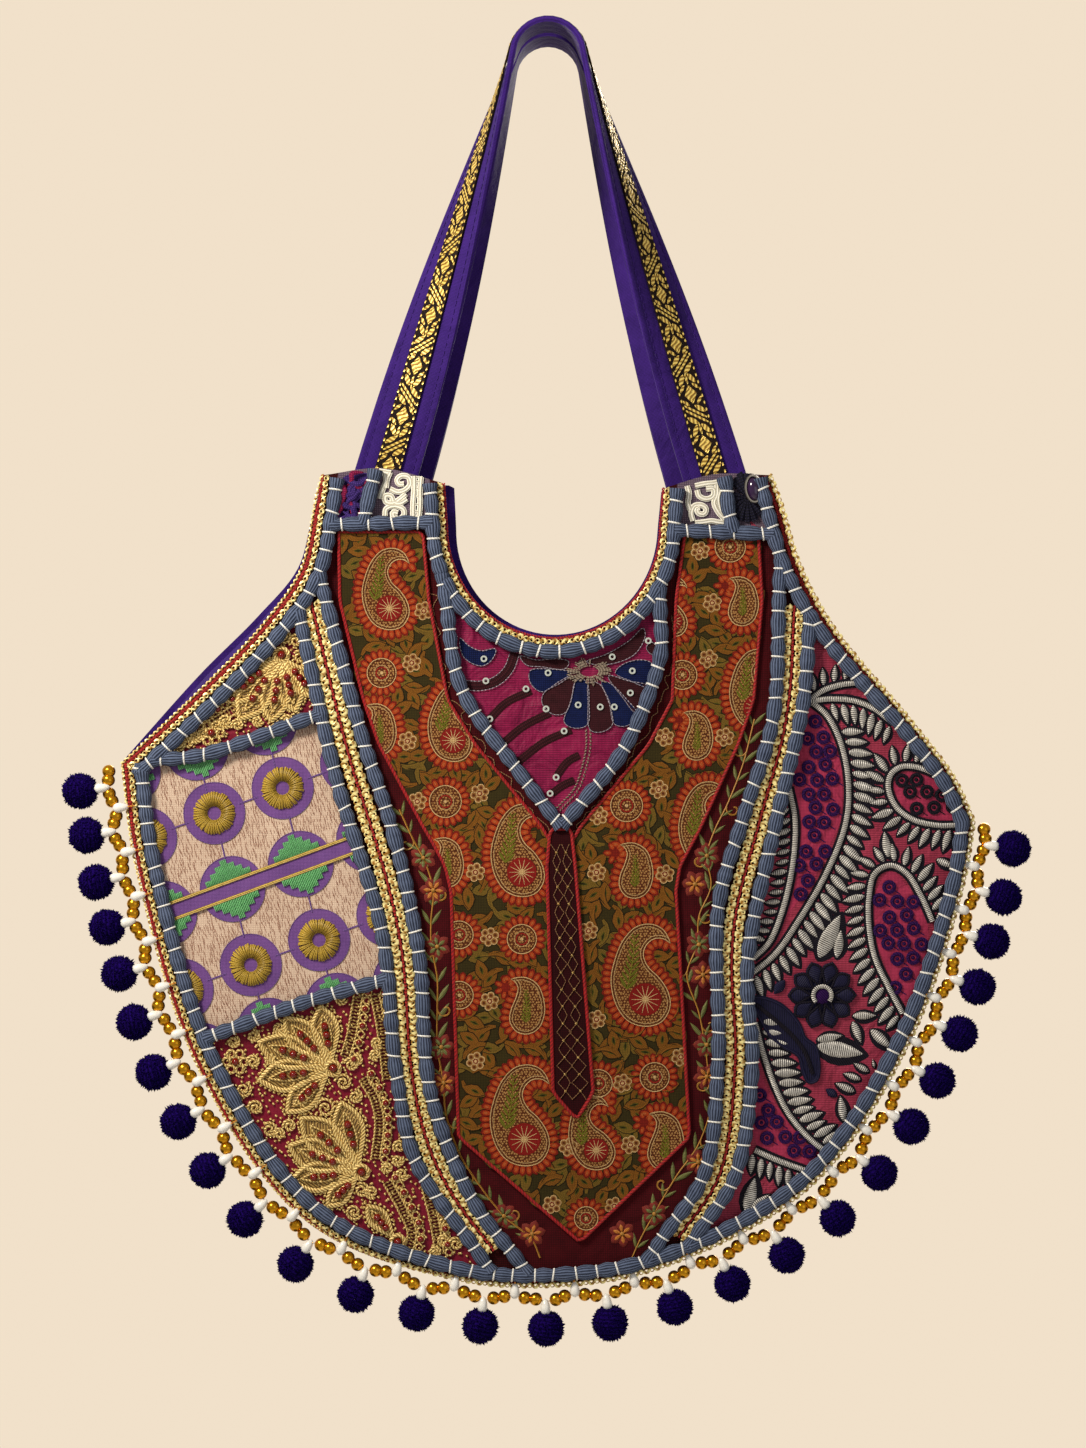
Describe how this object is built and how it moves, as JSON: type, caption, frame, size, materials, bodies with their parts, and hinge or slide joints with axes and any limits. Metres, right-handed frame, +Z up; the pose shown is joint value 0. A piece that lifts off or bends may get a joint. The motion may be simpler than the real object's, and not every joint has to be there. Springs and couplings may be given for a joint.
{
  "type": "patchwork shoulder bag",
  "caption": "Crescent patchwork shoulder bag with a U-shaped neck, long straps, padded cords over its seams and a beaded pompom fringe.",
  "frame": {"origin": "top of the rod that the straps hang over, in the middle between the straps", "axes": "+Z up, +X to the right as seen from the front, +Y from the patchwork front to the plain back"},
  "size_m": [0.4844, 0.0694, 0.6626],
  "materials": {
    "purple_cotton": "plain woven cotton, matt",
    "maroon_velvet": "velvet with silk embroidery",
    "olive_print": "printed cotton, matt",
    "magenta_silk": "slubbed silk, soft sheen",
    "cream_weave": "running-stitch weave with satin discs",
    "goldwork": "gold thread embroidery on crimson silk",
    "rose_silk": "silk with silver thread embroidery",
    "cotton_lace": "corded cotton lace",
    "blue_yarn": "padded cord of matt yarn, white stitches",
    "gold_braid": "zigzag braid of gilt thread",
    "gold_beads": "polished gilt beads",
    "indigo_yarn": "cut wool yarn, matt",
    "set_stone": "polished stone in a metal rim"
  },
  "bodies": {
    "root": {"front_panel": "purple_cotton", "back_panel": "purple_cotton", "gusset": "purple_cotton", "front_strap": "purple_cotton", "back_strap": "purple_cotton", "strap_ribbon": "gold_braid", "rim_trim": "gold_braid", "neck_trim": "gold_braid", "column_trim_left": "gold_braid", "column_trim_right": "gold_braid", "tab_left": "cotton_lace", "tab_right": "cotton_lace", "patch_left_upper": "goldwork", "patch_left_middle": "cream_weave", "patch_left_lower": "goldwork", "patch_right": "rose_silk", "yoke": "magenta_silk", "centre_ground": "maroon_velvet", "print_panel": "olive_print", "placket": "maroon_velvet", "rosette": "indigo_yarn", "stone": "set_stone", "bead_string": "gold_beads", "cord_rim": "blue_yarn", "cord_neck": "blue_yarn", "cord_column_left_outer": "blue_yarn", "cord_column_left_inner": "blue_yarn", "cord_column_right_inner": "blue_yarn", "cord_column_right_outer": "blue_yarn", "cord_yoke": "blue_yarn", "cord_divider_upper": "blue_yarn", "cord_divider_lower": "blue_yarn", "pompom_01": "indigo_yarn", "pompom_02": "indigo_yarn", "pompom_03": "indigo_yarn", "pompom_04": "indigo_yarn", "pompom_05": "indigo_yarn", "pompom_06": "indigo_yarn", "pompom_07": "indigo_yarn", "pompom_08": "indigo_yarn", "pompom_09": "indigo_yarn", "pompom_10": "indigo_yarn", "pompom_11": "indigo_yarn", "pompom_12": "indigo_yarn", "pompom_13": "indigo_yarn", "pompom_14": "indigo_yarn", "pompom_15": "indigo_yarn", "pompom_16": "indigo_yarn", "pompom_17": "indigo_yarn", "pompom_18": "indigo_yarn", "pompom_19": "indigo_yarn", "pompom_20": "indigo_yarn", "pompom_21": "indigo_yarn", "pompom_22": "indigo_yarn", "pompom_23": "indigo_yarn", "pompom_24": "indigo_yarn", "pompom_25": "indigo_yarn", "pompom_26": "indigo_yarn", "pompom_27": "indigo_yarn", "pompom_28": "indigo_yarn"}
  },
  "joints": []
}
